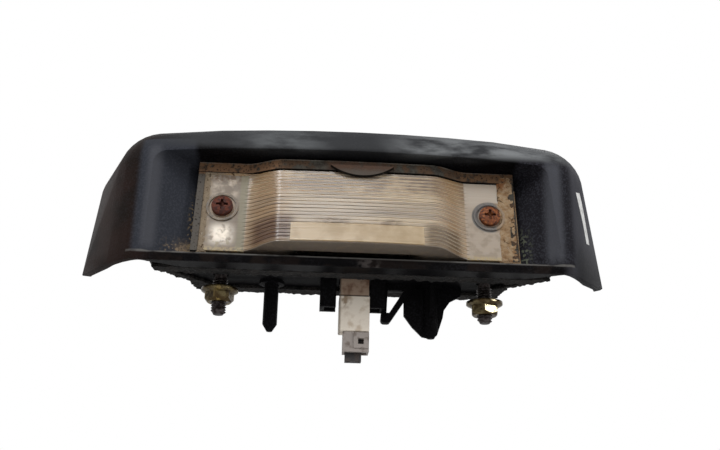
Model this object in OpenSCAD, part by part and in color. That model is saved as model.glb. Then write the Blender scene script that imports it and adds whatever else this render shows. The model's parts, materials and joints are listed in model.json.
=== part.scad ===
// Number plate lamp: a hood moulding with a scoop for a ribbed, arched lens, held by two studs.
// Millimetres. Z points out of the door, and the lens looks towards -Y.
// The origin lies on the door's face, half way between the two studs.

/* [Hood] */
// How far the left wing reaches past the left stud
wing_left = 55.7; // [50:0.1:62]
// How far the right wing reaches past the right stud
wing_right = 50.4; // [46:0.1:57]
// How far the centre of the lip's roll lies above the lens
lip_over = 11.3; // [9:0.1:14]
// Radius of the roll along the lip
lip_r = 8; // [7:0.5:9]
// Wall thickness of the moulding
wall = 2.4; // [1.8:0.1:3]
// How far the scoop's lower edge stands in front of the studs
front_y = 22; // [21.5:0.5:24]
// How far the scoop's mouth reaches past the left stud
recess_left = 27.7; // [24:0.1:31]
// How far the scoop's mouth reaches past the right stud
recess_right = 23.2; // [20:0.1:27]
// How far the mouth's upper edge lies under the centre of the lip's roll
lip_under = 3.3; // [2.5:0.1:4]
// How far the mouth's upper edge drops towards its corners
mouth_drop = 3; // [1:0.5:4]
// Radius of the mouth's upper corners
mouth_r = 6; // [4:0.5:9]
// Thickness of the slab that carries the studs
slab_t = 2; // [1.8:0.1:2.6]
// Angle of the wings' rear edge from the door's normal
rear_angle = 30; // [24:1:34]

/* [Door seal] */
// Thickness of the foam seal under the slab
seal_t = 1.4; // [1:0.1:3]
// Width of the foam strip
seal_w = 7; // [5:0.5:7]

/* [Lens] */
// Height of the lens, measured up its own plane
lens_h = 34.5; // [33:0.5:36]
// How far the crown stands out of the flat lands at its foot
crown_rise = 9.5; // [7:0.5:11]
// How far the crown stands out of the flat lands at its top
crown_top = 4.4; // [3:0.2:8]
// Width of a ramp between the crown and a land
ramp_w = 15; // [12:0.5:18]
// Thickness of the lens wall
lens_t = 2.2; // [1.8:0.1:2.6]
// Lean of the lens plane from the door's normal, in degrees
lean = 11; // [10:0.5:12]
// Number of bands that the flutes divide the crown into
flutes = 20; // [12:1:22]
// Depth of a flute
flute_depth = 0.25; // [0.1:0.05:0.4]
// Thickness of the gasket under the lens
gasket_t = 0.8; // [0.6:0.1:1.2]

/* [Lamp body] */
// Width of the rim beside the lens
rim_side = 3.5; // [3:0.1:4.5]
// Height of the rim strip above the lens
rim_h = 4.4; // [3.5:0.1:5]
// Thickness of the flange behind the lens
flange_t = 2; // [1.6:0.1:2.4]
// Depth of the tray behind its flange
tray_d = 20; // [18:0.5:21]
// Wall thickness of the tray
tray_t = 1.8; // [1.5:0.1:2.2]
// Width of the half-round tab over the lens
tab_w = 25; // [20:1:28]
// How far the half-round tab hangs over the lens
tab_h = 4.6; // [3:0.2:6]

/* [Lens screws] */
// Distance from the lens's end to a screw's axis
screw_edge = 7; // [6:0.2:9]
// Height of the lens screws up the lens plane
screw_rise = 19.2; // [17:0.2:21]
// Diameter of a screw head
head_d = 8.2; // [7.5:0.1:8.6]
// Thread diameter of a lens screw
screw_d = 3.9; // [3.5:0.1:4.2]
// Length of a lens screw under its head
screw_len = 15; // [13:0.5:16]

/* [Studs and nuts] */
// Distance between the two studs
stud_span = 104.6; // [103.6:0.2:107]
// Thread diameter of a stud
stud_d = 6; // [5:0.1:6.2]
// How far a stud stands out past the door's face
stud_len = 14.8; // [14:0.2:20]
// Distance from the door's face to the left nut
nut_gap_left = 4.4; // [2:0.1:5]
// Distance from the door's face to the right nut
nut_gap_right = 6.2; // [2:0.1:7]
// Width across the flats of a nut
nut_af = 10; // [9:0.5:11]
// Height of a nut with its flange
nut_h = 5.6; // [5:0.1:6]
// Flange diameter of a nut
nut_flange_d = 14.4; // [13:0.1:15]
// How far the left nut is turned from flat side forward, in degrees
nut_turn_left = 13; // [-30:1:30]
// How far the right nut is turned from flat side forward, in degrees
nut_turn_right = 21; // [-30:1:30]

/* [Pegs and clips] */
// Diameter of the round locating peg
peg_d = 5.8; // [5:0.1:6.4]
// How far the round locating peg stands out past the door's face
peg_len = 19.2; // [17:0.2:23]
// How far the webbed peg stands out past the door's face
web_len = 20; // [18:0.5:23]
// Thickness of the webs
web_t = 1.8; // [1.4:0.1:2.2]
// How far the looped clip stands out past the door's face
loop_len = 14.4; // [13:0.2:17]

/* [Bulbs and contacts] */
// Glass diameter of a festoon bulb
bulb_d = 9.4; // [8:0.2:10]
// Thickness of the contact strips
strip_t = 0.5; // [0.4:0.1:0.7]

/* [Connector] */
// Width of the connector's body
plug_w = 12.1; // [11.5:0.1:13]
// Depth of the connector's body
plug_d = 9; // [8:0.2:9.6]
// Distance from the door's face to the joint between the connector's base and body
plug_top = 5.3; // [4.5:0.1:6]
// Length of the connector's body
plug_len = 14.2; // [12:0.2:16]
// Length of the nose with the latch window
nose_len = 8; // [6:0.2:10]
// Width of a contact blade
blade_w = 1.5; // [1.2:0.1:2.2]

/* [Hidden] */
$fn = 48;
fit_gap = 0.15;
bore_gap = 0.1;
far = 200;

// Levels over the door
slab_z = seal_t;
floor_z = slab_z + slab_t;

// Studs and lens screws, and the bosses that hold them
stud_x = stud_span / 2;
stud_boss_r = stud_d / 2 + 2.6;
stud_boss_h = 5.5;
screw_x = stud_x - 0.3;
screw_boss_r = screw_d / 2 + 2.65;

// The tray fits between the bosses, and a bulb and its contacts into half the tray
boss_gap = 0.7;
tray_half = stud_x - stud_boss_r - boss_gap;
contact_room = 8.2;
bulb_len = tray_half - tray_t - contact_room;

// The lens frame: x along the lens, -y out of its face, z up its plane
lens_y = 2 - front_y;
lens_z = floor_z + 1.6;
lens_w = 2 * (screw_x + screw_edge);
ramp_half = tray_half - 2;
crown_half = ramp_half - ramp_w;
seat_d = lens_t + gasket_t + flange_t;
rim_w = lens_w + 2 * rim_side;
rim_low = lens_h + 0.5;
rim_top = rim_low + rim_h;

// Box of the tray in the lens frame
tray_low = 6.5;
tray_high = lens_h + 1.5;
tray_back = seat_d + tray_d;

// Reach of the hood, and of the scoop's mouth
left_x = stud_x + wing_left;
right_x = stud_x + wing_right;
mouth_left = stud_x + recess_left;
mouth_right = stud_x + recess_right;
lip_z = lens_z + lens_h + lip_over;
mouth_z = lip_z - lip_under;

// Line of the pegs and the connector
peg_y = 7;
loop_x = 16;
plug_x = 0.7;
plug_y = 4;

module in_lens_frame() {
  translate([0, lens_y, lens_z]) rotate([-lean, 0, 0]) children();
}

// Height of the arch over the lands at a place along the lens
crown_bow = 0.8;
function ease(t) = t * t * (3 - 2 * t);
function arch(x) =
  abs(x) >= ramp_half ? 0 :
  abs(x) > crown_half ? crown_rise * ease((ramp_half - abs(x)) / (ramp_half - crown_half)) :
  crown_rise + crown_bow * (1 - pow(x / crown_half, 2));

// The crown's rise at its top as a share of its rise at its foot
taper = crown_top / crown_rise;
function share(z) = 1 - (1 - taper) * z / lens_h;

// Places along the arch: close together on the ramps, wide apart on the crown
ramp_steps = 10;
crown_steps = 6;
arch_places = concat(
  [for (i = [0:ramp_steps - 1]) -ramp_half + ramp_w * i / ramp_steps],
  [for (i = [0:crown_steps - 1]) crown_half * (2 * i / crown_steps - 1)],
  [for (i = [0:ramp_steps]) crown_half + ramp_w * i / ramp_steps]
);
function arch_line(out, part) = [for (x = arch_places) [x, -part * arch(x) - out]];

// All that lies between the arch and a flat back, in a piece that is wider than the arch
function arch_fill(half, out, back, part) = concat(
  [[-half, -out]], arch_line(out, part), [[half, -out], [half, back], [-half, back]]
);

module up_lens(z0, z1) {
  translate([0, 0, z0]) linear_extrude(z1 - z0) children();
}

// The space under the arch, down to a flat back
module under_arch(part, out, back) {
  polygon(concat(arch_line(out, part), [[ramp_half, back], [-ramp_half, back]]));
}

// Hood moulding
tip_y = 7;
tip_left = 1.2;
tip_right = 3.2;
skirt_back = 20;
hood_back = skirt_back + 24;
lip_reach = 8;

function arc(c, r, a0, a1) = [
  for (i = [0:8]) let(a = a0 + (a1 - a0) * i / 8) [c[0] + r * cos(a), c[1] + r * sin(a)]
];

// The hood's outline at six distances from the front: y, left and right foot,
// left and right corner centre, corner radius, height of the crest
hood_sections = [
  [-front_y, [-mouth_left - 4, 0], [mouth_right + 6.4, 0], [-mouth_left + 7, lip_z - 12],
    [mouth_right - 7, lip_z - 12.4], 8, mouth_z + 1.4],
  [-front_y + 1, [-mouth_left - 6, 0], [mouth_right + 8, 0], [-mouth_left + 4, lip_z - 12.2],
    [mouth_right - 3.1, lip_z - 12.4], 9.6, lip_z + 2.6],
  [-front_y + 4, [-mouth_left - 10, 0], [mouth_right + 10.8, 0], [-mouth_left + 4, lip_z - 12.6],
    [mouth_right - 2.7, lip_z - 12.8], 14, lip_z + 6.4],
  [-front_y + lip_reach, [-mouth_left - 14, 0], [mouth_right + 13.8, 0], [-mouth_left + 3.5, lip_z - 12.8],
    [mouth_right - 2.1, lip_z - 12.8], 17, lip_z + lip_r],
  [tip_y, [-left_x, tip_left], [right_x, tip_right], [-left_x + 19.2, lip_z - 16.4],
    [right_x - 20.1, lip_z - 16.8], 15.5, lip_z + lip_r - 3],
  [hood_back, [-left_x + 6, 0], [right_x - 7.7, 0], [-left_x + 32, lip_z - 24.8],
    [right_x - 30.7, lip_z - 24.8], 17, lip_z - 5]
];

// The crest falls away gently from mid span
crest_drop = 2.2;
function crest_line(z) = [for (x = [-54:18:54]) [x, z - crest_drop * pow(x / 60, 2)]];

// One outline as a thin slice. The inner skin's slices run down through the floor.
slice_t = 0.2;
below = -5;
module hood_section(s, inset) {
  r = s[5] - inset;
  left = [s[1][0] + inset, inset > 0 ? below : s[1][1]];
  right = [s[2][0] - inset, inset > 0 ? below : s[2][1]];
  translate([0, s[0] + inset * 0.6, 0]) rotate([90, 0, 0]) linear_extrude(slice_t)
    polygon(concat([left], arc(s[3], r, 180, 98), crest_line(s[6] - inset), arc(s[4], r, 82, 0), [right]));
}

module hood_skin(inset) {
  hull() for (s = hood_sections) hood_section(s, inset);
}

// Everything behind the wings' rear edge
module behind_wings() {
  translate([-far, tip_y, 0]) rotate([-rear_angle, 0, 0])
    translate([0, 0, -far]) cube([2 * far, far, 2 * far]);
}

// Outline of the scoop's mouth, which widens towards its feet
scoop_foot = -4;
flare_left = 2.6;
flare_right = 5;
function mouth_outline(grow) = let(
  r = mouth_r + grow, z = mouth_z - mouth_drop - mouth_r, foot = scoop_foot - grow
) concat(
  [[-mouth_left - flare_left - grow, foot]], arc([-mouth_left + mouth_r, z], r, 180, 95),
  [for (x = [-50, -25, 0, 24, 48]) [x, mouth_z + grow - mouth_drop * pow(x / mouth_left, 2)]],
  arc([mouth_right - mouth_r, z], r, 85, 0), [[mouth_right + flare_right + grow, foot]]
);

// Outline of the seat at the scoop's back, in the lens plane
seat_gap = 0.6;
seat_r = 1.5;
function seat_outline(grow) = let(
  half = rim_w / 2 + seat_gap + grow, top = rim_top + seat_gap + grow, foot = scoop_foot - grow
) concat(
  [[-half, foot]], arc([-half + seat_r, top - seat_r], seat_r, 180, 95),
  [for (x = [-40:20:40]) [x, top]],
  arc([half - seat_r, top - seat_r], seat_r, 85, 0), [[half, foot]]
);

// The same place in the hood's own frame
function from_lens(p) = [
  p[0], lens_y + p[1] * cos(lean) + p[2] * sin(lean), lens_z - p[1] * sin(lean) + p[2] * cos(lean)
];

// The scoop is a loft: its walls turn smoothly from the upright mouth to the leaning seat.
// It is grown by the thickness of what bounds it.
loft_steps = 6;
module scoop(grow) {
  mouth = [for (p = mouth_outline(grow)) [p[0], -front_y - 1, p[1]]];
  seat = [for (p = seat_outline(grow)) from_lens([p[0], seat_d + grow, p[1]])];
  n = len(mouth);
  rings = [for (k = [0:loft_steps]) mouth * (1 - k / loft_steps) + seat * (k / loft_steps)];
  quads = [for (k = [0:loft_steps - 1], j = [0:n - 1]) [k * n + j, k * n + (j + 1) % n]];
  polyhedron(
    points = [for (ring = rings, p = ring) p],
    faces = concat(
      [[for (j = [0:n - 1]) j]],
      [for (q = quads) [q[1], q[0], q[0] + n]],
      [for (q = quads) [q[1], q[0] + n, q[1] + n]],
      [[for (j = [n - 1:-1:0]) loft_steps * n + j]]
    )
  );
}

// Plan of the part of the hood that lies against the door, from its front edge back
core_left = stud_x + 13.7;
core_right = stud_x + 10.2;
module skirt_plan(inset, front) {
  polygon([
    [-core_left - 12 + inset, front], [-core_left - 12 + inset, -10 + inset * 0.5],
    [-core_left + inset, 5 + inset * 0.3], [-core_left + 3 + inset, skirt_back - inset],
    [core_right - 2 - inset, skirt_back - inset], [core_right - inset, 1 + inset * 0.3],
    [core_right + 13.5 - inset, -12 + inset * 0.5], [core_right + 13.5 - inset, front]
  ]);
}

module core_walls() {
  translate([0, 0, slab_z]) {
    linear_extrude(slab_t) skirt_plan(0, -front_y - 1);
    linear_extrude(60) difference() {
      skirt_plan(0, -16);
      skirt_plan(wall, -17);
    }
  }
}

// Thin ribs that stiffen the top behind the core, and one in each wing
rib_t = 1.6;
rib_pitch = stud_x / 2;
wing_rib_z = 22;
module ribs() {
  for (i = [-2:2])
    translate([i * rib_pitch - rib_t / 2, skirt_back - 1, floor_z + 3]) cube([rib_t, far, far]);
  translate([-far, -12, wing_rib_z]) cube([far - core_left + 1, far, rib_t]);
  translate([core_right + 1, -12, wing_rib_z]) cube([far, far, rib_t]);
}

boss_len = screw_len - seat_d + 2;
module screw_bosses() {
  in_lens_frame() for (x = [-screw_x, screw_x])
    translate([x, seat_d + wall / 2, screw_rise]) rotate([-90, 0, 0])
      cylinder(r = screw_boss_r, h = boss_len);
}

module peg_round() {
  tip = 2.9;
  translate([-32.5, peg_y, 0]) {
    cylinder(d = peg_d + 4.2, h = slab_z + 1);
    translate([0, 0, -peg_len + tip]) cylinder(d = peg_d, h = peg_len + slab_z - tip + 1);
    translate([0, 0, -peg_len]) cylinder(d1 = 2.2, d2 = peg_d, h = tip);
  }
}

module peg_webbed() {
  core_d = 6.4;
  translate([31.6, peg_y, 0]) {
    cylinder(d = core_d + 4.4, h = slab_z + 1);
    translate([0, 0, -web_len + 3]) cylinder(d = core_d, h = web_len + slab_z - 2);
    translate([0, 0, -web_len]) cylinder(d1 = 3, d2 = core_d, h = 3);
    translate([0, web_t / 2, 0]) rotate([90, 0, 0]) linear_extrude(web_t) polygon([
      [-10.8, slab_z + 1], [-10.8, -web_len + 9], [-7.5, -web_len + 4.5], [-3.5, -web_len + 0.6],
      [0, -web_len], [2.6, -web_len + 1.4], [4.9, -web_len + 8.5], [5.4, -8.4], [8, -4.6],
      [12.2, -2.4], [12.6, slab_z + 1]
    ]);
    rotate([0, 0, 90]) translate([0, web_t / 2, 0]) rotate([90, 0, 0]) linear_extrude(web_t)
      polygon([[-6, slab_z + 1], [-4.4, -web_len + 8], [4.4, -web_len + 8], [6, slab_z + 1]]);
  }
}

// A hooked clip with a slot behind its slanted edge
module loop_clip() {
  foot_z = slab_z + 1;
  translate([loop_x, peg_y + 2, 0]) rotate([90, 0, 0]) linear_extrude(4) difference() {
    polygon([
      [-3.2, foot_z], [8, foot_z], [8, -0.5], [0, -loop_len + 1.6], [-1, -loop_len + 0.2],
      [-1.8, -loop_len], [-3.4, -loop_len], [-4.2, -loop_len + 0.4], [-4.5, -loop_len + 1.4]
    ]);
    polygon([[-1.8, -1], [4.8, -1], [-1.1, -loop_len + 4], [-2.2, -loop_len + 4]]);
  }
}

// Towers on both sides of the connector, open towards it
tower_len = 10;
tower_wall = 1.8;
module tower(x0, w) {
  translate([x0, plug_y - plug_d / 2, -tower_len]) difference() {
    cube([w, plug_d, tower_len + slab_z + 1]);
    translate([x0 < 0 ? tower_wall : -tower_wall, tower_wall, -1])
      cube([w, plug_d - 2 * tower_wall, tower_len - 1]);
  }
}

seal_front = -13;
module hood_housing() {
  color("#232123") difference() {
    union() {
      difference() {
        intersection() {
          hood_skin(0);
          union() {
            difference() {
              translate([-far, -far, -far]) cube(2 * far);
              hood_skin(wall);
              behind_wings();
            }
            difference() {
              ribs();
              behind_wings();
            }
            scoop(wall);
            core_walls();
          }
        }
        // the slab stands off the door behind the seal's front edge
        translate([0, 0, -1]) linear_extrude(slab_z + 1) skirt_plan(0.01, seal_front);
      }
      for (x = [-stud_x, stud_x])
        translate([x, 0, slab_z]) cylinder(r = stud_boss_r, h = slab_t + stud_boss_h);
      screw_bosses();
      peg_round();
      peg_webbed();
      loop_clip();
      tower(plug_x - plug_w / 2 - 7.65, 6.4);
      tower(plug_x + plug_w / 2 + 0.4, 5.6);
    }
    difference() {
      scoop(0);
      translate([-far, -far, -far]) cube([2 * far, 2 * far, far + floor_z]);
    }
    // opening for the tray
    in_lens_frame() translate([-tray_half - fit_gap, -1, tray_low - fit_gap])
      cube([2 * (tray_half + fit_gap), tray_back + 1 + fit_gap, tray_high - tray_low + 2 * fit_gap]);
    // holes for the lens screws, the studs and the connector's base
    in_lens_frame() for (x = [-screw_x, screw_x])
      translate([x, seat_d - 1, screw_rise]) rotate([-90, 0, 0])
        cylinder(d = screw_d + bore_gap, h = boss_len);
    for (x = [-stud_x, stud_x]) translate([x, 0, -1]) cylinder(d = stud_d + bore_gap, h = 30);
    plug_block(0, -1, floor_z + 1);
  }
}

// Foam seal between the slab and the door
seal_edge = seal_front + 0.2;
module door_seal() {
  color("#3b3833") linear_extrude(seal_t) difference() {
    skirt_plan(0.2, seal_edge);
    intersection() {
      skirt_plan(seal_w, -far);
      translate([-far, seal_edge + seal_w]) square(2 * far);
    }
  }
}

// Tray with the flat seat behind the lens and the arched rim above it
light_half = tray_half - 4;
light_low = tray_low - 3;
light_high = lens_h - 3;
module lamp_body() {
  half = rim_w / 2;
  color("#5d584f") in_lens_frame() {
    difference() {
      union() {
        translate([-half, seat_d - flange_t, -0.3]) cube([rim_w, flange_t, rim_top + 0.3]);
        up_lens(rim_low, rim_top) polygon(arch_fill(half, 0.6, seat_d, taper));
        for (x = [-half, half - 2.6]) translate([x, -0.2, -0.3]) cube([2.6, seat_d, rim_top + 0.3]);
        translate([-tray_half, seat_d - 0.5, tray_low])
          cube([2 * tray_half, tray_d + 0.5, tray_high - tray_low]);
        tab();
      }
      // way of the light, then the inside of the tray
      translate([-light_half, 0, light_low]) cube([2 * light_half, seat_d - 0.5, light_high - light_low]);
      translate([-tray_half + tray_t, 0, tray_low + tray_t])
        cube([2 * (tray_half - tray_t), tray_back - tray_t, light_high - tray_low - tray_t]);
      translate([-tray_half + tray_t, seat_d, tray_low + tray_t])
        cube([2 * (tray_half - tray_t), tray_d - tray_t, tray_high - tray_low - 2 * tray_t]);
      for (x = [-screw_x, screw_x])
        translate([x, -1, screw_rise]) rotate([-90, 0, 0]) cylinder(d = screw_d + 0.6, h = seat_d + 2);
      rotate([lean, 0, 0]) translate([0, -lens_y, -lens_z]) blade_slots(3, 12);
    }
  }
}

// Half-round tab that hangs over the lens from the rim
tab_root = 1.6;
tab_t = 1.4;
module tab() {
  r = (pow(tab_w / 2, 2) + pow(tab_h, 2)) / (2 * tab_h);
  back = share(rim_low + tab_root - tab_h) * (crown_rise + crown_bow) + 0.3;
  translate([plug_x + 1, 0, rim_low + tab_root]) rotate([90, 0, 0]) {
    translate([0, 0, back]) linear_extrude(tab_t) tab_outline(r, far);
    linear_extrude(back + tab_t) tab_outline(r, tab_root);
  }
}

module tab_outline(r, reach) {
  intersection() {
    translate([0, r - tab_h]) circle(r, $fn = 96);
    translate([-tab_w, -reach]) square([2 * tab_w, reach]);
  }
}

module lens_gasket() {
  color("#15130f") in_lens_frame() difference() {
    translate([-lens_w / 2 + 0.3, lens_t, 0.4]) cube([lens_w - 0.6, gasket_t, lens_h - 0.6]);
    translate([-light_half - 1, 0, 1.6]) cube([2 * light_half + 2, seat_d, lens_h - 3.2]);
    for (x = [-screw_x, screw_x])
      translate([x, 0, screw_rise]) rotate([-90, 0, 0]) cylinder(d = screw_d + 0.6, h = seat_d);
  }
}

// The crown is built of bands that step back as it tapers, with a flute under each.
// A plain window lies over the lowest bands.
band_h = lens_h / flutes;
flute_h = 0.3 * band_h;
window_half = crown_half - 4;
window_low = 0.4;
window_high = 5 * band_h;
window_out = 0.12;
end_wall = 1.8;
module crown() {
  for (i = [0:flutes - 1]) let(low = i * band_h, part = share(low + band_h)) {
    up_lens(low, low + band_h) under_arch(part, -flute_depth, 0.5);
    up_lens(low + flute_h, low + band_h) under_arch(part, 0, 0.5);
  }
  intersection() {
    linear_extrude(lens_h, scale = [1, taper]) under_arch(1, window_out, 0.5);
    translate([-window_half, -far, window_low]) cube([2 * window_half, far, window_high - window_low]);
  }
}

module lens_outline() {
  hull() for (x = [-lens_w / 2 + corner_r, lens_w / 2 - corner_r], z = [corner_r, lens_h - corner_r])
    translate([x, z]) circle(corner_r, $fn = 24);
}

// The lens is a cap: the crown stands on flat lands and has a wall all round
collar_d = 12.4;
corner_r = 3;
module lens() {
  color("#c8b9a2") in_lens_frame() difference() {
    union() {
      translate([0, lens_t, 0]) rotate([90, 0, 0]) linear_extrude(lens_t) lens_outline();
      crown();
      for (x = [-screw_x, screw_x])
        translate([x, 0.1, screw_rise]) rotate([90, 0, 0]) cylinder(d = collar_d, h = 0.6);
    }
    intersection() {
      translate([0, lens_t, 0]) linear_extrude(lens_h, scale = [1, taper]) under_arch(1, 0, 1);
      translate([-far, -far, end_wall]) cube([2 * far, 2 * far, lens_h - 2 * end_wall]);
    }
    for (x = [-screw_x, screw_x]) translate([x, 0, screw_rise]) rotate([-90, 0, 0]) {
      translate([0, 0, -2]) cylinder(d = collar_d - 2, h = 2);
      translate([0, 0, -1]) cylinder(d = screw_d + 0.4, h = lens_t + 2);
    }
  }
}

// Lens screws: pan heads with a cross recess
module lens_screw(x) {
  head_h = 2.7;
  color("#6a3a24") in_lens_frame() translate([x, 0, screw_rise]) rotate([90, 0, 0]) difference() {
    union() {
      intersection() {
        cylinder(d = head_d, h = head_h);
        translate([0, 0, head_h - head_d]) sphere(head_d);
      }
      translate([0, 0, -screw_len + 3]) cylinder(d = screw_d, h = screw_len - 3 + 0.1);
      translate([0, 0, -screw_len]) cylinder(d1 = 0.8, d2 = screw_d, h = 3);
    }
    for (a = [0, 90]) rotate(a) translate([-2.3, -0.5, head_h - 1.7]) cube([4.6, 1, 3]);
    translate([0, 0, head_h - 2]) cylinder(d1 = 0.8, d2 = 2.6, h = 2.1);
  }
}

module lens_screw_left() {
  lens_screw(-screw_x);
}

module lens_screw_right() {
  lens_screw(screw_x);
}

// Mounting studs, each with a round head over its boss
stud_top = floor_z + stud_boss_h;
stud_head_d = 2 * stud_boss_r + 0.2;
module stud(x) {
  color("#4f484a") translate([x, 0, 0]) {
    translate([0, 0, -stud_len + 1]) cylinder(d = stud_d, h = stud_len - 1 + stud_top + 0.5);
    translate([0, 0, -stud_len]) cylinder(d1 = stud_d - 1.4, d2 = stud_d, h = 1);
    translate([0, 0, stud_top]) cylinder(d = stud_head_d, h = 1.6);
  }
}

module stud_left() {
  stud(-stud_x);
}

module stud_right() {
  stud(stud_x);
}

module flange_nut(x, gap, turn) {
  lip = 1.1;
  color("#8a7a3c") translate([x, 0, -gap - nut_h]) rotate(turn) difference() {
    union() {
      intersection() {
        cylinder(d = nut_af / cos(30), h = nut_h, $fn = 6);
        translate([0, 0, -nut_h + 1.6]) cylinder(d1 = 0.2 * nut_af, d2 = 2.2 * nut_af, h = 2 * nut_h);
      }
      translate([0, 0, nut_h - lip]) cylinder(d = nut_flange_d, h = lip);
      translate([0, 0, nut_h - lip - 1]) cylinder(d1 = nut_af + 0.6, d2 = nut_flange_d, h = 1);
    }
    translate([0, 0, -1]) cylinder(d = stud_d + bore_gap, h = nut_h + 2);
  }
}

module flange_nut_left() {
  flange_nut(-stud_x, nut_gap_left, nut_turn_left);
}

module flange_nut_right() {
  flange_nut(stud_x, nut_gap_right, nut_turn_right);
}

// Festoon bulbs and the strips that hold them
bulb_y = seat_d + bulb_d / 2 + 4.3;
bulb_rise = (tray_low + tray_high) / 2;
tip_x = 4;
bulb_x = bulb_len / 2 + tip_x;

module bulb(x) {
  cap_d = 7;
  cap_len = 7;
  cone = 1.6;
  shoulder = 1.5;
  in_lens_frame() translate([x, bulb_y, bulb_rise]) rotate([0, 90, 0]) {
    color("#dfe3e2") translate([0, 0, -bulb_len / 2 + cap_len]) rotate_extrude() {
      translate([0, -1]) square([bulb_d / 2 - shoulder, bulb_len - 2 * cap_len + 2]);
      translate([0, shoulder]) square([bulb_d / 2, bulb_len - 2 * cap_len - 2 * shoulder]);
      for (z = [shoulder, bulb_len - 2 * cap_len - shoulder])
        translate([bulb_d / 2 - shoulder, z]) circle(shoulder);
    }
    color("#b9b4a6") for (side = [0, 1]) mirror([0, 0, side]) translate([0, 0, bulb_len / 2 - cap_len]) {
      cylinder(d = cap_d, h = cap_len - cone);
      translate([0, 0, cap_len - cone]) cylinder(d1 = cap_d - 2, d2 = 2, h = cone);
    }
  }
}

module bulb_left() {
  bulb(-bulb_x);
}

module bulb_right() {
  bulb(bulb_x);
}

// A spring finger that stands on the tray's back wall and ends round a bulb's tip
strip_y = tray_back - tray_t;
finger_w = 7;
finger_hole = 3;
module finger(x) {
  front = bulb_y - finger_w / 2;
  translate([x - strip_t / 2, 0, 0]) rotate([90, 0, 90]) linear_extrude(strip_t) difference() {
    union() {
      translate([bulb_y, bulb_rise]) circle(d = finger_w);
      translate([bulb_y, bulb_rise - finger_w / 2]) square([strip_y - bulb_y, finger_w]);
    }
    translate([bulb_y, bulb_rise]) circle(d = finger_hole);
  }
}

tip_gap = 0.4;
bar_h = 3;
leg_w = 4;
feed_rise = bulb_rise - finger_w / 2;
earth_low = tray_low + 2.1;
earth_high = tray_high - tray_t - bar_h - 0.8;
feed_low = earth_low + bar_h + 1.4;
module feed_strip() {
  x = tip_x - tip_gap;
  color("#c29a4b") in_lens_frame() {
    for (s = [-1, 1]) finger(s * x);
    translate([-x, strip_y - strip_t, feed_rise]) cube([2 * x, strip_t, finger_w]);
    translate([plug_x - blade_gap - bar_h / 2, strip_y - strip_t, feed_low])
      cube([bar_h, strip_t, feed_rise - feed_low + 1]);
  }
}

module earth_strip() {
  x = bulb_x + bulb_len / 2 + tip_gap;
  y = strip_y - strip_t;
  color("#c29a4b") in_lens_frame() {
    for (s = [-1, 1]) finger(s * x);
    translate([-x - leg_w / 2, y, bulb_rise - 2]) cube([leg_w, strip_t, earth_high + bar_h - bulb_rise + 2]);
    translate([x - leg_w / 2, y, earth_low]) cube([leg_w, strip_t, earth_high + bar_h - earth_low]);
    translate([-x - leg_w / 2, y, earth_high]) cube([2 * x + leg_w, strip_t, bar_h]);
    translate([plug_x + blade_gap - 1.2, y, earth_low]) cube([x - plug_x - blade_gap + 1.2, strip_t, bar_h]);
  }
}

// Connector: base under the tray, body, nose with its latch window, carrier and blades
blade_gap = 1.9;
blade_y = plug_y - 0.5;
base_gap = 0.3;
module plug_block(gap, z0, z1) {
  translate([plug_x - plug_w / 2 + gap, plug_y - plug_d / 2 + gap, z0])
    cube([plug_w - 2 * gap, plug_d - 2 * gap, z1 - z0]);
}

module blade_slots(z0, z1) {
  for (s = [-1, 1]) translate([plug_x + s * blade_gap - blade_w / 2 - 0.1, blade_y - 0.5, z0])
    cube([blade_w + 0.2, 1, z1 - z0]);
}

module connector_base() {
  color("#8b7a6b") difference() {
    plug_block(base_gap, -plug_top, 16);
    in_lens_frame() translate([-20, -20, tray_low]) cube([40, 80, 40]);
    blade_slots(-far, far);
  }
}

module connector_body() {
  color("#bfb5a6") difference() {
    plug_block(0, -plug_top - plug_len, -plug_top);
    blade_slots(-far, far);
  }
}

nose_t = 0.9;
nose_w = plug_w - 1.8;
nose_x = plug_x + plug_w / 2 - nose_w;
nose_y = plug_y - plug_d / 2 + 0.8;
nose_z = -plug_top - plug_len;
socket_y = nose_y + nose_t + 1;
socket_d = plug_d - 2 * nose_t - 2.6;
latch_w = 5.8;
latch_h = 6.2;
latch_t = 0.6;
hole_w = 2.2;
module latch_nose() {
  latch_x = nose_x + nose_w - latch_w - 0.3;
  color("#a9a3a2") difference() {
    union() {
      translate([nose_x, nose_y, nose_z - nose_len]) cube([nose_w, plug_d - 1.6, nose_len]);
      translate([latch_x, nose_y - latch_t, nose_z - latch_h - 0.4]) cube([latch_w, latch_t + 0.1, latch_h]);
    }
    translate([nose_x + nose_t, socket_y, nose_z - nose_len - 1])
      cube([nose_w - 2 * nose_t, socket_d, nose_len]);
    // latch window
    translate([latch_x + (latch_w - hole_w) / 2, nose_y - 1, nose_z - 5]) cube([hole_w, 4, hole_w]);
    blade_slots(-far, far);
  }
}

module terminal_carrier() {
  w = 2 * blade_gap + blade_w + 1.1;
  color("#2c2829") difference() {
    translate([plug_x - w / 2, socket_y + 0.4, nose_z - nose_len - 3.4])
      cube([w, socket_d - 1, nose_len + 2.4]);
    blade_slots(-far, far);
  }
}

// A bent strip: straight down through the connector, and along the tray's back at its top
module blade(s, top) {
  low = nose_z - nose_len - 1;
  color("#b08d57") translate([plug_x + s * blade_gap - blade_w / 2, 0, 0]) rotate([90, 0, 90])
    linear_extrude(blade_w) {
      translate([blade_y - 0.4, low]) square([0.8, 10.6 - low]);
      translate([lens_y, lens_z]) rotate(-lean) translate([strip_y - strip_t - 0.6, 8.6])
        square([0.6, top - 8.6]);
    }
}

module terminal_feed() {
  blade(-1, feed_rise + 1);
}

module terminal_earth() {
  blade(1, earth_low + bar_h);
}

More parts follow.
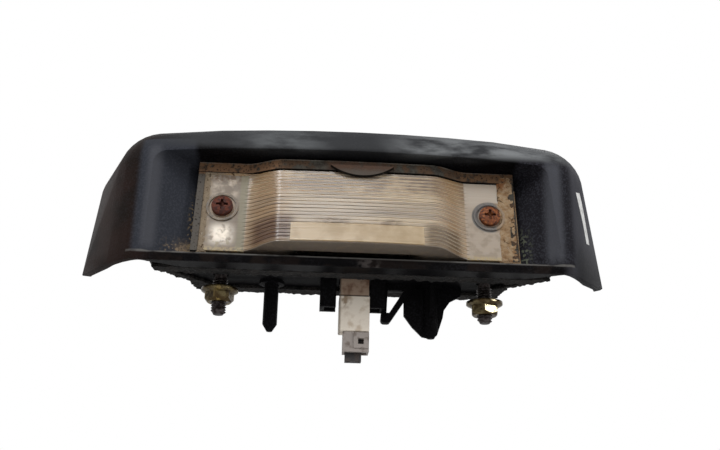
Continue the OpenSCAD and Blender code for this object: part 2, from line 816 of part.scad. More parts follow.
hood_housing();
door_seal();
lamp_body();
lens_gasket();
lens();
lens_screw_left();
lens_screw_right();
stud_left();
stud_right();
flange_nut_left();
flange_nut_right();
bulb_left();
bulb_right();
feed_strip();
earth_strip();
connector_base();
connector_body();
latch_nose();
terminal_carrier();
terminal_feed();
terminal_earth();
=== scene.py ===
# %% [markdown]
# A number plate lamp that has spent years on the back of a van: a black moulded hood, a
# clear ribbed lens that has hazed and yellowed, two rusty screws, plated nuts and a pale
# connector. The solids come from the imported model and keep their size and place. This file
# gives them their finish, rounds their edges, and adds what is too fine for the solids.

# %% Tools
import json
import math
from functools import partial

import bpy
from mathutils import Matrix, Vector

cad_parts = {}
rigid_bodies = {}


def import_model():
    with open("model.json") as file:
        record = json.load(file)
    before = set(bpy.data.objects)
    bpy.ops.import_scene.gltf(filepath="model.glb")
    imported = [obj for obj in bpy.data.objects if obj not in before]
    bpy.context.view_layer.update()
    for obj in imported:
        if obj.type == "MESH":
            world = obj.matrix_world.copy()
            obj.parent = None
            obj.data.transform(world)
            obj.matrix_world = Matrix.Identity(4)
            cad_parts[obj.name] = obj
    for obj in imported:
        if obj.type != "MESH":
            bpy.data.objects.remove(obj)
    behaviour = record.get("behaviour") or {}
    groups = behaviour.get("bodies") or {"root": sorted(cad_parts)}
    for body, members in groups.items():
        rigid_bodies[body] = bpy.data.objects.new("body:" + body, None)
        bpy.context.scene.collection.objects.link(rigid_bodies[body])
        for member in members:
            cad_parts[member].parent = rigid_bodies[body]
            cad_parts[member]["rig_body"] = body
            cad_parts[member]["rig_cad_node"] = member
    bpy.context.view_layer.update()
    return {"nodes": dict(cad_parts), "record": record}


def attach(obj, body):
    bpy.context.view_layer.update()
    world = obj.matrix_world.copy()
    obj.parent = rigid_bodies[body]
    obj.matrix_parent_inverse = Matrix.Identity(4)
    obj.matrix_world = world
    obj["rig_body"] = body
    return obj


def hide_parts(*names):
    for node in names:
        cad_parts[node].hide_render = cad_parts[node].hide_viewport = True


MM = 0.001

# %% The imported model
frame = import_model()
bpy.ops.object.select_all(action="DESELECT")
print("nodes:", ", ".join(sorted(frame["nodes"])))

# %% [markdown]
# The camera stands where the photographer stood: a little to the left, well below the
# lamp and looking up at it. It turns on its own axis by just over a degree, because the
# lamp hangs slightly askew in the picture.

# %% Camera
EYE_DISTANCE = 360 * MM
EYE_AZIMUTH = math.radians(2.42)
EYE_BELOW = math.radians(15.5)
EYE_LEVEL = -3.8 * MM
EYE_ROLL = math.radians(1.26)
LOOK_AT = Vector((2.2, 0, 24.5)) * MM
FOCAL_MM = 45.38

eye = Vector((
    -math.cos(EYE_BELOW) * math.sin(EYE_AZIMUTH) * EYE_DISTANCE,
    -math.cos(EYE_BELOW) * math.cos(EYE_AZIMUTH) * EYE_DISTANCE,
    EYE_LEVEL - math.sin(EYE_BELOW) * EYE_DISTANCE,
))
camera_data = bpy.data.cameras.new("camera")
camera_data.lens = FOCAL_MM
camera_data.sensor_width = 36
camera_data.clip_start = 0.01
camera = bpy.data.objects.new("camera", camera_data)
turn = (LOOK_AT - eye).to_track_quat("-Z", "Y").to_matrix().to_4x4()
camera.matrix_world = Matrix.Translation(eye) @ turn @ Matrix.Rotation(EYE_ROLL, 4, "Z")
bpy.context.scene.collection.objects.link(camera)
bpy.context.scene.camera = camera
bpy.context.scene.view_settings.view_transform = "Standard"
print("camera at", [round(c / MM) for c in eye], "mm")


# %% [markdown]
# Every colour below is an sRGB hex value, as a paint program shows it. Cycles works with
# light itself, so one function turns the value to linear. A second one adds a node with
# its settings and links.

# %% Colours and nodes
def rgb(code):
    """Linear red, green, blue and alpha of an sRGB hex value."""
    parts = [int(code[i:i + 2], 16) / 255 for i in (1, 3, 5)]
    return [p / 12.92 if p <= 0.04045 else ((p + 0.055) / 1.055) ** 2.4 for p in parts] + [1]


def put(tree, kind, inputs=None, **settings):
    """Adds a node with its settings. An input takes a value, or a socket to link from."""
    made = tree.nodes.new("ShaderNode" + kind)
    for name, value in settings.items():
        setattr(made, name, value)
    for name, value in (inputs or {}).items():
        if isinstance(value, bpy.types.NodeSocket):
            tree.links.new(value, made.inputs[name])
        else:
            made.inputs[name].default_value = value
    return made


# %% [markdown]
# The background is white to the camera and in reflections. What falls on the lamp from it
# is weaker, so that black plastic stays black. Three soft lamps do the rest: a broad key
# above and in front, which draws the light band along the lip, a weaker one to the right,
# which catches the right nut, and one behind for the other views. A narrow strip lamp
# stands so that it mirrors in the crown's left shoulder as an upright gleam.

# %% Light
WORLD_FILL = 0.5
scene_world = bpy.data.worlds.new("studio")
scene_world.use_nodes = True
world_tree = scene_world.node_tree
world_tree.nodes.clear()
path = put(world_tree, "LightPath")
seen = put(world_tree, "Math",
           {0: path.outputs["Is Camera Ray"], 1: path.outputs["Is Glossy Ray"]}, operation="ADD")
seen = put(world_tree, "Math", {0: seen.outputs[0], 1: path.outputs["Is Transmission Ray"]},
           operation="ADD", use_clamp=True)
strength = put(world_tree, "MapRange",
               {"Value": seen.outputs[0], "To Min": WORLD_FILL, "To Max": 1.0})
sky = put(world_tree, "Background", {"Color": (1, 1, 1, 1), "Strength": strength.outputs[0]})
put(world_tree, "OutputWorld", {"Surface": sky.outputs[0]})
bpy.context.scene.world = scene_world


def soft_lamp(name, place, aim, width, height, watts):
    """A soft light at a place in metres, which points at a spot on the object."""
    data = bpy.data.lights.new(name, "AREA")
    data.shape = "RECTANGLE"
    data.size = width
    data.size_y = height
    data.energy = watts
    lamp = bpy.data.objects.new(name, data)
    lamp.location = place
    lamp.rotation_euler = (Vector(aim) - Vector(place)).to_track_quat("-Z", "Y").to_euler()
    bpy.context.scene.collection.objects.link(lamp)


soft_lamp("key", (-0.2, -0.6, 0.7), (0, 0, 0.03), 0.6, 0.35, 3.6)
soft_lamp("side", (0.67, -0.456, 0.19), (0.05, 0, -0.01), 0.25, 0.25, 1.6)
soft_lamp("back", (0.1, 0.7, 0.5), (0, 0, 0.02), 0.6, 0.6, 4)
soft_lamp("strip", (-0.26, -0.52, 0.52), (-0.022, -0.027, 0.025), 0.04, 0.5, 1.4)

# %% Floor
FLOOR_SIZE = 20
FLOOR_DROP = 0.9
bpy.ops.mesh.primitive_plane_add(size=FLOOR_SIZE, location=(0, 0, -FLOOR_DROP))
floor = bpy.context.object
floor.name = "floor"
floor_paint = bpy.data.materials.new("white_floor")
floor_paint.use_nodes = True
floor_shader = floor_paint.node_tree.nodes["Principled BSDF"]
floor_shader.inputs["Base Color"].default_value = rgb("#f4f4f4")
floor_shader.inputs["Roughness"].default_value = 0.9
floor.data.materials.append(floor_paint)
print("lights and floor are set")


# %% [markdown]
# All patterns are laid out in millimetres. A material starts with the place of each point
# on the object, so a grain of half a millimetre is half a millimetre on every piece. A
# stain is a tint that shows where all its masks meet, and a mask is a number from 0 to 1:
# cloudy patches, a band between two marks, or a ring round a screw. Each material takes
# these tools under short names, ready for its own nodes: lay, span and cloud.

# %% A material's first nodes
def start_material(name, roughness, metallic=0.0):
    """A material, its tree, its main shader and the place on the object in millimetres."""
    made = bpy.data.materials.new(name)
    made.use_nodes = True
    tree = made.node_tree
    shader = tree.nodes["Principled BSDF"]
    shader.inputs["Roughness"].default_value = roughness
    shader.inputs["Metallic"].default_value = metallic
    place = put(tree, "TexCoord").outputs["Object"]
    in_mm = put(tree, "VectorMath", {0: place, "Scale": 1 / MM}, operation="SCALE").outputs[0]
    return made, tree, shader, in_mm


def soft_step(tree, value, low, high):
    """0 up to the low value and 1 from the high one, with a soft rise between them."""
    return put(tree, "MapRange", {"Value": value, "From Min": low, "From Max": high},
               interpolation_type="SMOOTHSTEP").outputs[0]


def noise(tree, place, size, detail):
    """A cloud noise whose lumps have a size in millimetres."""
    made = put(tree, "TexNoise", {"Vector": place, "Scale": 1 / size, "Detail": detail})
    return made.outputs["Fac"]


def patches(tree, place, size, lowest, highest, detail=4.0):
    """Cloudy patches: 0 where the noise is below its lowest value, 1 over its highest."""
    return soft_step(tree, noise(tree, place, size, detail), lowest, highest)


def between(tree, place, axis, start, end, soft):
    """1 between two millimetre marks on an axis and 0 outside, with soft ends."""
    mark = put(tree, "SeparateXYZ", {0: place}).outputs[axis]
    rise = soft_step(tree, mark, start - soft, start + soft)
    fall = soft_step(tree, mark, end + soft, end - soft)
    return put(tree, "Math", {0: rise, 1: fall}, operation="MULTIPLY").outputs[0]


def stain(tree, base, tint, amount, *masks):
    """Lays a tint over a base colour where all the masks meet."""
    share = amount
    for mask in masks:
        share = put(tree, "Math", {0: share, 1: mask}, operation="MULTIPLY").outputs[0]
    inputs = {"Factor": share}
    for socket, colour in ((6, base), (7, tint)):
        inputs[socket] = rgb(colour) if isinstance(colour, str) else colour
    return put(tree, "Mix", inputs, data_type="RGBA").outputs[2]


def brushes(tree, place):
    """The tools for stains, bands and patches, ready for one tree and one place."""
    return partial(stain, tree), partial(between, tree, place), partial(patches, tree, place)


def finish_surface(tree, shader, colour, place, size, detail, depth):
    """Gives the shader its colour and a fine relief. Size and depth are in millimetres."""
    tree.links.new(colour, shader.inputs["Base Color"])
    grain = noise(tree, place, size, detail)
    bump = put(tree, "Bump", {"Height": grain, "Distance": depth * MM, "Strength": 1.0})
    tree.links.new(bump.outputs[0], shader.inputs["Normal"])
    return grain


# %% [markdown]
# The hood is polypropylene, moulded black with a fine grain, so the eye sees a dull sheen
# and no mirror. Years outdoors have greyed the lip, which faces the sky, and left a brown
# film on the left flank. The lip's grey is partly painted highlight, paler in streaks. The
# recess beside the lens is still blue-black, with a painted highlight along each rounded
# edge, and silt has dried in its corners.

# %% Hood plastic
LEFT_WALL, RIGHT_WALL = (-84, -63), (63, 84)


def hood_plastic():
    made, tree, shader, place = start_material("grained_black_polypropylene", 0.5)
    lay, span, cloud = brushes(tree, place)
    shader.inputs["Specular IOR Level"].default_value = 0.03
    film = cloud(16, 0.3, 0.62)
    flank = span("X", -130, -80, 6)
    colour = lay("#080708", "#1a1411", 0.9, flank)
    colour = lay(colour, "#271c19", 0.9, flank, film)
    colour = lay(colour, "#424247", 0.9, span("X", 81, 130, 3))
    colour = lay(colour, "#151517", 0.85, span("X", 84, 130, 4), span("Z", -20, 12, 8))
    # blue-black walls of the recess, with a painted highlight along each rounded edge
    inside = span("Y", -24, -8, 1)
    for wall, tint in ((LEFT_WALL, "#2e3036"), (RIGHT_WALL, "#1c1b1f")):
        colour = lay(colour, tint, 1.0, inside, span("X", *wall, 1.5), span("Z", 3.2, 50, 0.4))
    for ridge_highlight in ((-80.8, -76), (73.5, 79.5)):
        colour = lay(colour, "#48494e", 0.85, inside, span("X", *ridge_highlight, 1.8), span("Z", 5, 46, 3))
    # weathered lip: a dull grey that clears towards both ends, part weathering and part painted
    # highlight, with paler streaks of painted highlight
    lip_grey_and_highlight = span("Z", 47, 58, 2.2)
    front = span("Y", -60, -20, 7)
    brushed = put(tree, "Mapping", {"Vector": place, "Scale": (0.35, 1.0, 1.0)}).outputs[0]
    colour = lay(colour, "#38393b", 0.85, lip_grey_and_highlight, span("X", -74, 92, 14))
    streaks = patches(tree, brushed, 5, 0.32, 0.62)
    colour = lay(colour, "#a6a9ab", 0.65, lip_grey_and_highlight, front, span("X", 18, 88, 14), streaks)
    colour = lay(colour, "#75787a", 0.6, lip_grey_and_highlight, front, span("X", -44, -14, 10), streaks)
    # the crests of the grain have gone paler, most of all on the walls of the recess
    crests = cloud(0.7, 0.46, 0.64, 1.0)
    colour = lay(colour, "#47474d", 0.08, crests, cloud(12, 0.35, 0.6))
    for wall in (LEFT_WALL, RIGHT_WALL):
        colour = lay(colour, "#4a4c54", 0.2, crests, inside, span("X", *wall, 2),
                     span("Z", 4.2, 46, 0.8))
    # dried silt in the corners beside the lens
    crumbs = cloud(1.3, 0.5, 0.62, 2.0)
    over_floor = span("Z", 3.3, 36, 0.1)
    colour = lay(colour, "#85745f", 0.85, inside, crumbs, over_floor, span("X", -72, -62, 3),
                 span("Z", -2, 8.5, 3.5))
    heap = cloud(1.8, 0.36, 0.5, 6.0)
    colour = lay(colour, "#8f7c66", 0.9, inside, heap, over_floor, span("X", -67.5, -62, 3.5),
                 span("Z", -2, 7, 5))
    colour = lay(colour, "#74654f", 0.8, inside, crumbs, over_floor, span("X", -64.8, -62, 0.8),
                 span("Z", 3, 30, 4))
    colour = lay(colour, "#5f6354", 0.8, inside, crumbs, over_floor, span("X", 62, 67.5, 2),
                 span("Z", 2, 18, 6))
    # a pale line along the front edge of the floor: dust, and a painted highlight on the edge
    edge = span("Y", -24, -21.2, 0.2)
    colour = lay(colour, "#6b6966", 0.7, edge, span("Z", 2.9, 3.8, 0.25), cloud(7, 0.2, 0.5))
    # brown smudges on the front band, and a scuff in its middle
    band = span("Z", -2, 3, 0.3)
    colour = lay(colour, "#241c18", 0.4, edge, band, cloud(9, 0.46, 0.62))
    colour = lay(colour, "#4e4947", 0.7, edge, band, span("X", 1, 9, 1.5), cloud(2.4, 0.4, 0.6))
    # the grain is about a third of a millimetre and drawn twice as coarse, so that it shows
    finish_surface(tree, shader, colour, place, 0.7, 2.0, 0.14)
    return made


# %% [markdown]
# The lens is polycarbonate, moulded clear. Sun and salt have hazed it, so it no longer
# shows the bulbs and looks like frosted cream glass. Its pattern is laid out in the lens's
# own plane, which leans back by eleven degrees.

# %% The lens's plane
LENS_FOOT = (0, -20, 5.0)
LENS_LEAN = math.radians(11)
LENS_TALL = 34.5
BANDS = 20
BAND_MM = LENS_TALL / BANDS
CROWN_HALF = 42.5
WINDOW_HALF = 25
WINDOW_BANDS = 5
SCREW_U, SCREW_W = 52.0, 19.2
LENS_GLOSS, LAND_GLOSS = 0.22, 0.5


def lens_plane(tree, place):
    """Place in the lens's own frame: along it, behind its face, and up its height."""
    turned = {"Vector": place, "Location": LENS_FOOT, "Rotation": (-LENS_LEAN, 0, 0)}
    return put(tree, "Mapping", turned, vector_type="TEXTURE").outputs[0]


def ring(tree, plane, u, inner, outer, soft):
    """1 between two distances from the middle of a lens screw, whatever the depth."""
    flat = put(tree, "VectorMath", {0: plane, 1: (1, 0, 1)}, operation="MULTIPLY").outputs[0]
    gap = put(tree, "VectorMath", {0: flat, 1: (u, 0, SCREW_W)}, operation="DISTANCE")
    gap = gap.outputs["Value"]
    return between(tree, put(tree, "CombineXYZ", {0: gap}).outputs[0], "X", inner, outer, soft)


# %% [markdown]
# The crown is the arched middle. Dirt lies in its flutes as thin broken lines, the two
# ramps are browner, the middle has a grey film, and the plain window at the foot is palest.

# %% The crown's colour
def crown_colour(tree, place, plane, streaks, crown):
    lay, span, cloud = brushes(tree, plane)
    streak = partial(patches, tree, streaks)
    colour = lay("#b3a48e", "#9a8a74", 1.0, streak(1.6, 0.36, 0.64))
    colour = lay(colour, "#5e5046", 0.85, span("Z", 24, 36, 3), cloud(9, 0.25, 0.55))
    # grey film over the middle, brown on the ramps
    colour = lay(colour, "#928980", 0.7, span("Z", 9.5, 20, 2.5), span("X", -24, 44, 8),
                 streak(1.6, 0.25, 0.6))
    for ramp in ((-CROWN_HALF, -28), (32, CROWN_HALF)):
        colour = lay(colour, "#876c4c", 0.85, span("X", *ramp, 5))
    colour = lay(colour, "#4a2e1c", 0.9, span("X", -40, -24, 3), span("Z", 0.5, 12, 2),
                 streak(1.2, 0.25, 0.5))
    colour = lay(colour, "#5b4c3b", 0.85, span("X", 26, 40, 2), span("Z", 0, 10, 2))
    # dirt in the flutes: each is the lowest third of its band
    turns = put(tree, "Math", {0: put(tree, "SeparateXYZ", {0: plane}).outputs["Z"], 1: BAND_MM},
                operation="DIVIDE")
    part = put(tree, "Math", {0: turns.outputs[0]}, operation="FRACT")
    flute = put(tree, "MapRange", {"Value": part.outputs[0], "From Min": 0.45, "From Max": 0.25})
    colour = lay(colour, "#6d6152", 0.45, crown, flute.outputs[0], streak(2.6, 0.5, 0.64),
                 span("Z", 0, 25, 1))
    # the upper flutes are clean, and they are painted lighter against the shade of their steps
    upper = span("Z", 23, 36, 2)
    colour = lay(colour, "#f3e5cf", 0.7, upper, flute.outputs[0], span("X", -30, 30, 5))
    colour = lay(colour, "#c9b698", 0.5, crown, upper, flute.outputs[0])
    # the lower flutes are painted a little lighter too, against the same shade
    colour = lay(colour, "#e4d6c0", 0.4, crown, flute.outputs[0], span("Z", 1, 23, 2),
                 span("X", -20, 42, 6))
    # plain window
    clean = lay("#b19e82", "#9f8b6c", 1.0, cloud(6, 0.35, 0.7))
    colour = lay(colour, clean, 0.95, span("X", -WINDOW_HALF, WINDOW_HALF, 0.15),
                 span("Z", 0.3, WINDOW_BANDS * BAND_MM, 0.1))
    # thin grey lines over the middle, and smudges over the window's upper edge
    colour = lay(colour, "#655d56", 0.5, span("Z", 14, 24, 1), span("X", -40, 40, 3),
                 streak(0.6, 0.5, 0.62))
    for smudge in ((-15, -3), (8, 16)):
        colour = lay(colour, "#6f5f4d", 0.7, span("X", *smudge, 3), span("Z", 8.4, 11.5, 0.8),
                     cloud(3, 0.3, 0.55))
    # the crown's lower wall, grey with dust, and a painted shadow in the gap under its middle
    foot = span("Z", -1, 0.25, 0.1)
    colour = lay(colour, "#685f56", 0.9, foot, crown)
    colour = lay(colour, "#796c5d", 0.7, foot, crown, patches(tree, place, 2.5, 0.5, 0.64))
    return lay(colour, "#0b0908", 0.95, foot, span("X", -26, 24, 4), span("Y", -2.2, 2, 0.3))


# %% [markdown]
# The lands are the two flat ends that the screws go through. The left one is blotched, with
# a clean spot at its foot, and the right one is even and a little greyer.

# %% The lands' colour
def land_colour(tree, plane):
    lay, span, cloud = brushes(tree, plane)
    left = span("X", -60, -40, 1)
    land = lay("#9f9283", "#706252", 0.95, left)
    land = lay(land, "#7c7062", 0.9, left, cloud(6, 0.36, 0.56))
    land = lay(land, "#c4b5a3", 0.9, cloud(6, 0.4, 0.6), span("X", -56.5, -47, 1.5),
               span("Z", 24, 32, 1.5))
    land = lay(land, "#f2e8da", 0.95, span("X", -55.5, -47.5, 2.5), span("Z", 3.5, 11, 2.5),
               cloud(5, 0.18, 0.45))
    land = lay(land, "#8d8166", 0.7, left, cloud(2, 0.5, 0.62, 8.0), span("Z", 0, 6, 3))
    land = lay(land, "#7e7264", 0.75, left, cloud(3.5, 0.52, 0.66))
    land = lay(land, "#5e4832", 0.9, cloud(1.6, 0.42, 0.58), left, span("Z", 31, 36, 1.6))
    land = lay(land, "#7b745c", 0.8, span("X", -45.6, -42.6, 0.5))
    right = span("X", 40, 60, 1)
    land = lay(land, "#857867", 0.6, right, cloud(4, 0.45, 0.62, 6.0), span("Z", -2, 20, 5))
    return lay(land, "#aca194", 0.6, right, span("Z", 24, 33, 2))


# %% [markdown]
# The whole lens joins the two. It scatters light inside, as hazed plastic does, and it has
# the silt at its edges, a darker ring round each screw and the rust that has run out from
# under the heads.

# %% Lens plastic
def lens_plastic():
    made, tree, shader, place = start_material("hazed_polycarbonate", LENS_GLOSS)
    shader.inputs["IOR"].default_value = 1.58
    shader.inputs["Specular IOR Level"].default_value = 0.32
    shader.inputs["Subsurface Weight"].default_value = 0.9
    shader.inputs["Subsurface Radius"].default_value = (1.0, 0.85, 0.7)
    shader.inputs["Subsurface Scale"].default_value = 1.5 * MM
    plane = lens_plane(tree, place)
    lay, span, cloud = brushes(tree, plane)
    mark = partial(ring, tree, plane)
    streaks = put(tree, "Mapping", {"Vector": plane, "Scale": (0.03, 0.03, 1.0)}).outputs[0]
    crown = span("X", -CROWN_HALF, CROWN_HALF, 0.4)
    lands = put(tree, "Math", {0: 1.0, 1: crown}, operation="SUBTRACT").outputs[0]
    colour = crown_colour(tree, place, plane, streaks, crown)
    colour = lay(colour, land_colour(tree, plane), 1.0, lands)
    # tan silt along the left end and the foot
    silt = cloud(1.4, 0.38, 0.55)
    colour = lay(colour, "#86755e", 0.9, silt, span("X", -60, -56.6, 0.7))
    colour = lay(colour, "#a8966f", 0.8, silt, lands, span("Z", -1, 1.4, 0.8))
    # a darker ring round each screw, tan on the right one's outer side
    colour = lay(colour, "#514f4e", 0.9, mark(SCREW_U, 4.4, 6.9, 0.3))
    colour = lay(colour, "#87725a", 0.9, mark(SCREW_U, 4.2, 7.4, 0.3),
                 span("X", SCREW_U + 2.6, 62, 1.2), cloud(2, 0.25, 0.45))
    colour = lay(colour, "#6f6252", 0.7, mark(-SCREW_U, 4.6, 6.6, 0.4))
    colour = lay(colour, "#3d352b", 0.6, mark(-SCREW_U, 5.4, 6.6, 0.3), cloud(4, 0.46, 0.58))
    # rust has run out from under the heads
    colour = lay(colour, "#846248", 0.7, mark(SCREW_U, -1, 4.4, 0.6), cloud(2, 0.35, 0.55))
    colour = lay(colour, "#a88e74", 0.6, mark(-SCREW_U, -1, 4.8, 0.5))
    # the lands are duller than the crown
    dull = put(tree, "MapRange", {"Value": lands, "To Min": LENS_GLOSS, "To Max": LAND_GLOSS})
    tree.links.new(dull.outputs[0], shader.inputs["Roughness"])
    finish_surface(tree, shader, colour, streaks, 0.9, 2.0, 0.08)
    return made


# %% [markdown]
# The tray behind the lens is grey-green ABS. Only its rim shows, under a film of brown
# silt with black specks. Its upper edge has a thin pale line, and every face that looks
# down carries painted shade.

# %% Rim of the tray
def rim_plastic():
    made, tree, shader, place = start_material("silted_grey_abs", 0.8)
    shader.inputs["Specular IOR Level"].default_value = 0.15
    plane = lens_plane(tree, place)
    lay, span, cloud = brushes(tree, plane)
    top = span("Z", 34, 41, 0.5)
    colour = lay("#3d3a34", "#2c2823", 1.0, cloud(2.5, 0.4, 0.6))
    colour = lay(colour, "#4a3728", 0.8, cloud(5, 0.46, 0.6))
    colour = lay(colour, "#73563f", 0.9, span("X", -63, -30, 2), top, cloud(2, 0.3, 0.5))
    colour = lay(colour, "#6b5039", 0.85, span("X", 40, 64, 3), top, cloud(2, 0.35, 0.55))
    colour = lay(colour, "#54504b", 0.9, span("X", -64, -59, 0.3), span("Z", -2, 34, 1))
    colour = lay(colour, "#1d1712", 0.8, cloud(0.9, 0.58, 0.66))
    colour = lay(colour, "#6f6a62", 0.6, span("Z", 38.9, 41, 0.25), cloud(6, 0.3, 0.6))
    # the half-round tab is browner above and greyer at its rounded edge
    tab = span("Y", -9, -5.3, 0.05)
    colour = lay(colour, "#4e4741", 0.85, tab, span("Z", 30, 35, 1.5))
    colour = lay(colour, "#46342a", 0.9, tab, span("Z", 34.5, 40, 1.5), cloud(1.5, 0.25, 0.5))
    # painted shade on every face that looks down
    facing = put(tree, "SeparateXYZ", {0: put(tree, "NewGeometry").outputs["Normal"]}).outputs["Z"]
    under = put(tree, "MapRange", {"Value": facing, "From Min": -0.35, "From Max": -0.75})
    colour = lay(colour, "#0e0b08", 0.95, under.outputs[0])
    finish_surface(tree, shader, colour, place, 0.8, 3.0, 0.35)
    return made


# %% [markdown]
# The lens screws are plain steel and have rusted right through their plating. The left one
# has gone dark red-brown and the right one is still orange. Rust is rough and scatters
# light, so no bare metal is left to see.

# %% Rusted screws
def rusted_steel():
    made, tree, shader, place = start_material("rusted_steel", 0.62)
    lay, span, cloud = brushes(tree, place)
    shader.inputs["Specular IOR Level"].default_value = 0.25
    rust = lay("#552717", "#32140d", 1.0, cloud(1.4, 0.4, 0.6))
    orange = lay("#6b3a1f", "#3c1d11", 1.0, cloud(1.4, 0.42, 0.62))
    orange = lay(orange, "#94592f", 0.8, cloud(1.0, 0.52, 0.64))
    colour = lay(rust, orange, 1.0, span("X", 0, 200, 1))
    finish_surface(tree, shader, colour, place, 0.7, 3.0, 0.3)
    return made


# %% [markdown]
# The nuts are steel with yellow zinc plating, dulled to olive brass. A painted highlight
# lies on the right nut's front-right flat, pale, and a dull gold one lies in front on the
# left nut, and brown dirt fills the corners. The studs are bare steel, tarnished to a dark
# grey with a trace of brown.

# %% Plated and tarnished steel
def plated_steel():
    made, tree, shader, place = start_material("dulled_yellow_zinc", 0.3, 0.9)
    lay, span, cloud = brushes(tree, place)
    colour = lay("#61563c", "#42341f", 1.0, cloud(4, 0.4, 0.62))
    # a painted highlight on the right nut's flat that faces front right
    facing = partial(between, tree, put(tree, "NewGeometry").outputs["Normal"])
    colour = lay(colour, "#d8cba6", 0.9, facing("X", 0.2, 0.5, 0.05), span("X", 40, 70, 1),
                 facing("Z", -0.1, 0.1, 0.05))
    # a duller painted highlight on the left nut, in front
    colour = lay(colour, "#97814d", 0.7, facing("X", -0.1, 0.12, 0.1), span("X", -70, -40, 1),
                 cloud(2.4, 0.4, 0.55))
    colour = lay(colour, "#2b2015", 0.85, cloud(1.8, 0.54, 0.66))
    grain = finish_surface(tree, shader, colour, place, 1.2, 3.0, 0.06)
    dull = put(tree, "MapRange", {"Value": grain, "To Min": 0.2, "To Max": 0.42})
    tree.links.new(dull.outputs[0], shader.inputs["Roughness"])
    return made


def worn(name, colour, tint, roughness, metallic=0.0, size=4.0, low=0.42, high=0.62, depth=0.1):
    """A surface of one colour with cloudy stains and a light relief."""
    made, tree, shader, place = start_material(name, roughness, metallic)
    mixed = stain(tree, colour, tint, 1.0, patches(tree, place, size, low, high))
    finish_surface(tree, shader, mixed, place, 0.6, 3.0, depth)
    return made


# %% [markdown]
# The connector is nylon. Its base has gone brown under the lamp, its body is still pale
# with a brown stain at the upper left, and a dark line of grime marks the joint.

# %% Connector plastic
def connector_nylon(name, colour, tint, joint):
    made, tree, shader, place = start_material(name, 0.55)
    lay, span, cloud = brushes(tree, place)
    mixed = lay(colour, tint, 0.9, cloud(4, 0.45, 0.68))
    mixed = lay(mixed, "#8b7358", 0.8, span("X", -6, -1, 1.5), span("Z", -10, -4, 1.5),
                cloud(2, 0.35, 0.6))
    mixed = lay(mixed, "#3b2c20", 0.8, span("Z", joint - 0.3, joint + 0.3, 0.2))
    mixed = lay(mixed, "#6b6055", 0.6, span("X", -6, -4.6, 0.3))
    finish_surface(tree, shader, mixed, place, 0.6, 3.0, 0.1)
    return made


# %% [markdown]
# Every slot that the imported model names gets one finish.

# %% Finishes
CONNECTOR_JOINT = -5.3
SLOTS = {
    "hood_plastic": hood_plastic(),
    "seal_foam": worn("cut_foam_strip", "#0e0c0b", "#1a1512", 0.95, depth=0.6),
    "tray_plastic": rim_plastic(),
    "gasket_rubber": worn("black_gasket_rubber", "#15130f", "#241f18", 0.8),
    "lens_plastic": lens_plastic(),
    "rusty_steel": rusted_steel(),
    "stud_steel": worn("tarnished_steel", "#4a4443", "#251d1a", 0.45, metallic=0.85, size=1.5),
    "plated_nut": plated_steel(),
    "bulb_glass": worn("bulb_glass", "#dfe3e2", "#cfd4d2", 0.1),
    "contact_brass": worn("stamped_brass", "#c29a4b", "#8c6c34", 0.35, metallic=1.0),
    "base_plastic": connector_nylon("browned_nylon", "#a28a76", "#6f513d", CONNECTOR_JOINT),
    "connector_plastic": connector_nylon("pale_nylon", "#eadfcf", "#c9b8a3", CONNECTOR_JOINT),
    "nose_plastic": worn("grey_nylon", "#9a918b", "#6b5f57", 0.55, size=3, low=0.5, high=0.7),
    "carrier_plastic": worn("black_nylon", "#1d191a", "#332925", 0.6),
}
slot_of = {part["node"]: part["material_slot"] for part in frame["record"]["subparts"]}
print("finishes:", len(SLOTS))


def dress(piece, slot):
    """Gives a piece one finish."""
    piece.data.materials.clear()
    piece.data.materials.append(SLOTS[slot])


for node_name, node_object in frame["nodes"].items():
    dress(node_object, slot_of[node_name])


# %% [markdown]
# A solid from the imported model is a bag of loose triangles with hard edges. Moulded and
# pressed parts have small radii that catch the light, so each part that shows is copied,
# its doubles are merged, its flat faces are joined up, and its edges are rounded by a
# bevel that is applied. The copy stands for the solid in the picture.

# %% Copies of the solids
MERGE_MM = 0.004
FLAT_DEG = 0.6


def select_only(piece):
    """Makes a piece the only one selected, and the active one."""
    bpy.ops.object.select_all(action="DESELECT")
    piece.select_set(True)
    bpy.context.view_layer.objects.active = piece


def modify(piece, name, kind, **settings):
    """Adds a modifier to the active piece, with its settings, and applies it."""
    made = piece.modifiers.new(name, kind)
    for setting, value in settings.items():
        setattr(made, setting, value)
    bpy.ops.object.modifier_apply(modifier=name)


def merged_copy(node_name):
    """A copy of a solid whose triangles are joined into a proper skin."""
    source = frame["nodes"][node_name]
    piece = source.copy()
    piece.data = source.data.copy()
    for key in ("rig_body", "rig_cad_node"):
        if key in piece:
            del piece[key]
    piece.parent = None
    piece.name = node_name + "_finish"
    bpy.context.scene.collection.objects.link(piece)
    select_only(piece)
    bpy.ops.object.mode_set(mode="EDIT")
    bpy.ops.mesh.select_all(action="SELECT")
    bpy.ops.mesh.remove_doubles(threshold=MERGE_MM * MM)
    bpy.ops.mesh.dissolve_limited(angle_limit=math.radians(FLAT_DEG))
    bpy.ops.object.mode_set(mode="OBJECT")
    return piece


def finish_copy(piece, node_name):
    """The copy rides on the lamp, stands for its solid and keeps its slot."""
    dress(piece, slot_of[node_name])
    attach(piece, "root")
    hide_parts(node_name)
    print(piece.name, len(piece.data.polygons), "faces")


# %% [markdown]
# A bevel of two segments turns thirty degrees at each of its edges, so faces that meet at
# less than forty-two are shaded as one. The copies other than the hood then get weighted
# normals, which keep flat faces flat beside their rounded edges.
#
# The hood takes two more steps. Its walls come as long strips between the sections that it
# was lofted through, so level cuts divide them. The walls of the recess are then relaxed,
# by little more than half a millimetre at most, and the light runs over them as over one
# curved skin.

# %% Rounded copies
SMOOTH_DEG = 42
HOOD_CUTS = range(6, 50, 4)
# distance from the middle, depth and height between which the walls are relaxed
WALL_REACH = ((66, 78), (-22, -9), (9, 43))
RELAX_TURNS = 3


